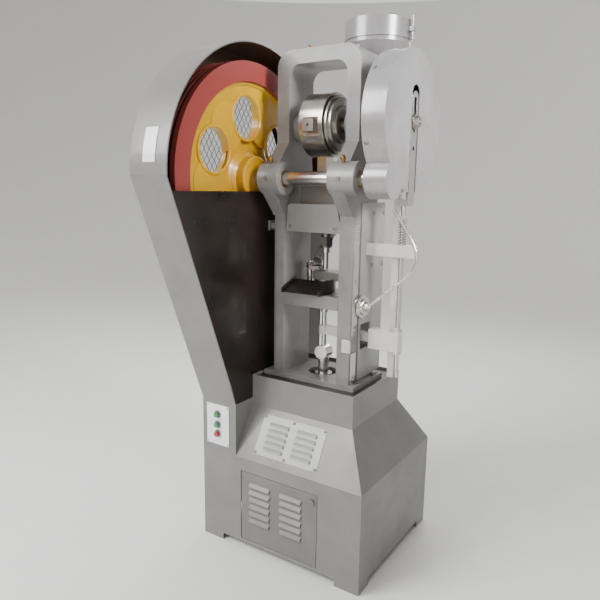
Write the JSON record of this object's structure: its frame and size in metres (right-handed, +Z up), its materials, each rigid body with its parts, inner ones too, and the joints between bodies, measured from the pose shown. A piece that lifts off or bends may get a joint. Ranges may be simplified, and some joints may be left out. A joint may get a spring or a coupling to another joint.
{
  "type": "tablet press",
  "caption": "Floor-standing eccentric tablet press: sheet-metal cabinet, guarded flywheel, cast arch frame, eccentric slide, die table, gear guard and hopper.",
  "frame": {"origin": "centre of the lower cabinet's footprint, on the floor", "axes": "+Z up, -Y the operator's side, +X to the right as seen from the front"},
  "size_m": [0.8023, 0.9842, 2.096],
  "materials": {
    "grey_sheet": "satin grey paint on sheet steel",
    "pale_panel": "pale grey paint",
    "white_plate": "white enamelled plate",
    "green_cap": "moulded green cap",
    "red_cap": "moulded red cap",
    "black_switch": "moulded switch body",
    "black_panel": "glossy near-black enamel",
    "mesh_wire": "woven wire in a ring",
    "flywheel_paint": "painted cast iron, yellow web and red rim",
    "grey_casting": "light grey painted casting",
    "grey_cover": "light grey paint on sheet steel",
    "dark_frame": "dark paint",
    "bronze": "turned bronze",
    "belt_rubber": "fabric-faced rubber",
    "bright_steel": "ground bright steel",
    "machined_steel": "machined steel, oiled",
    "chute_black": "glossy dark tray"
  },
  "bodies": {
    "frame": {"base_cabinet": "grey_sheet", "inner_stand": "dark_frame", "louvre_panel": "pale_panel", "door_pivots": "machined_steel", "control_plate": "white_plate", "button_bezels": "bright_steel", "switch_blocks": "black_switch", "flywheel_guard": "grey_sheet", "guard_mesh": "mesh_wire", "guard_inner_panel": "black_panel", "guard_stay": "machined_steel", "guard_nameplate": "white_plate", "frame_casting": "grey_casting", "bed_plate": "black_panel", "frame_bolts": "machined_steel", "drive_bushes": "bronze", "main_bushes": "bronze", "boss_screws": "bright_steel", "slide_guides": "machined_steel", "slide_cover": "grey_cover", "die_table": "grey_casting", "die_holder": "bright_steel", "die": "bright_steel", "tablet_chute": "chute_black", "shoe_pivot": "bright_steel", "lower_guide": "bright_steel", "lift_spring": "machined_steel", "side_plate": "grey_cover", "column_strips": "bright_steel", "guide_bracket": "bright_steel", "gear_guard": "grey_cover", "gear_guard_back": "grey_cover", "hopper": "grey_cover", "hopper_bracket": "grey_casting", "motor": "dark_frame", "drive_belts": "belt_rubber"},
    "door": {"cabinet_door": "grey_sheet"},
    "latch": {"door_latch": "bright_steel"},
    "start_push": {"start_button": "green_cap"},
    "jog_push": {"jog_button": "green_cap"},
    "stop_push": {"stop_button": "red_cap"},
    "drive_set": {"flywheel": "flywheel_paint", "drive_shaft": "bright_steel", "drive_pinion": "machined_steel"},
    "main_set": {"main_shaft": "bright_steel", "main_gear": "machined_steel", "lift_cam": "machined_steel", "main_shaft_nut": "bright_steel"},
    "strap": {"eccentric_strap": "machined_steel", "strap_lock_block": "bright_steel"},
    "slide": {"slide_block": "machined_steel", "punch_holder": "machined_steel", "upper_punch": "bright_steel"},
    "shoe": {"feed_shoe": "bright_steel"},
    "lower_lift": {"lower_punch": "bright_steel", "lift_arm": "bright_steel", "lift_rod": "bright_steel", "lift_bar": "bright_steel"},
    "lever": {"feed_lever": "bright_steel"},
    "motor_rotor": {"motor_pulley": "machined_steel"}
  },
  "joints": [
    {"name": "door_swing", "type": "hinge", "parent": "frame", "child": "door", "pos_m": [-0.164, -0.307, 0.19], "axis": [0, 0, -1], "range_deg": [0, 100]},
    {"name": "latch_turn", "type": "hinge", "parent": "door", "child": "latch", "pos_m": [0.165, -0.312, 0.306], "axis": [0, 1, 0], "range_deg": [0, 90]},
    {"name": "start_press", "type": "slide", "parent": "frame", "child": "start_push", "axis": [0, 1, 0], "range_m": [0, 0.006], "stiffness_N_per_m": 400},
    {"name": "jog_press", "type": "slide", "parent": "frame", "child": "jog_push", "axis": [0, 1, 0], "range_m": [0, 0.006], "stiffness_N_per_m": 400},
    {"name": "stop_press", "type": "slide", "parent": "frame", "child": "stop_push", "axis": [0, 1, 0], "range_m": [0, 0.006], "stiffness_N_per_m": 400},
    {"name": "flywheel_turn", "type": "hinge", "parent": "frame", "child": "drive_set", "pos_m": [0, -0.161, 1.484], "axis": [1, 0, 0], "continuous": true},
    {"name": "main_turn", "type": "hinge", "parent": "frame", "child": "main_set", "pos_m": [0.022, -0.011, 1.684], "axis": [1, 0, 0], "continuous": true},
    {"name": "strap_turn", "type": "hinge", "parent": "main_set", "child": "strap", "pos_m": [0.022, -0.031, 1.684], "axis": [1, 0, 0], "continuous": true},
    {"name": "slide_stroke", "type": "slide", "parent": "frame", "child": "slide", "axis": [0, 0, 1], "range_m": [-0.02, 0.02]},
    {"name": "shoe_swing", "type": "hinge", "parent": "frame", "child": "shoe", "pos_m": [-0.072, 0.025, 1.14], "axis": [0, 0, 1], "range_deg": [-20, 0]},
    {"name": "lever_rock", "type": "hinge", "parent": "frame", "child": "lever", "pos_m": [0.21, -0.055, 1.012], "axis": [1, 0, 0], "range_deg": [-4, 0]},
    {"name": "punch_lift", "type": "slide", "parent": "frame", "child": "lower_lift", "axis": [0, 0, 1], "range_m": [0, 0.012], "deforming": ["lift_spring"]},
    {"name": "motor_turn", "type": "hinge", "parent": "frame", "child": "motor_rotor", "pos_m": [-0.28, 0, 0.23], "axis": [1, 0, 0], "continuous": true}
  ],
  "couplings": [
    {"joint": "main_turn", "follows": "flywheel_turn", "ratio": -0.21951},
    {"joint": "strap_turn", "follows": "flywheel_turn", "ratio": 0.21951},
    {"joint": "motor_turn", "follows": "flywheel_turn", "ratio": 6.5385},
    {"joint": "lever_rock", "follows": "shoe_swing", "ratio": 0.2}
  ]
}
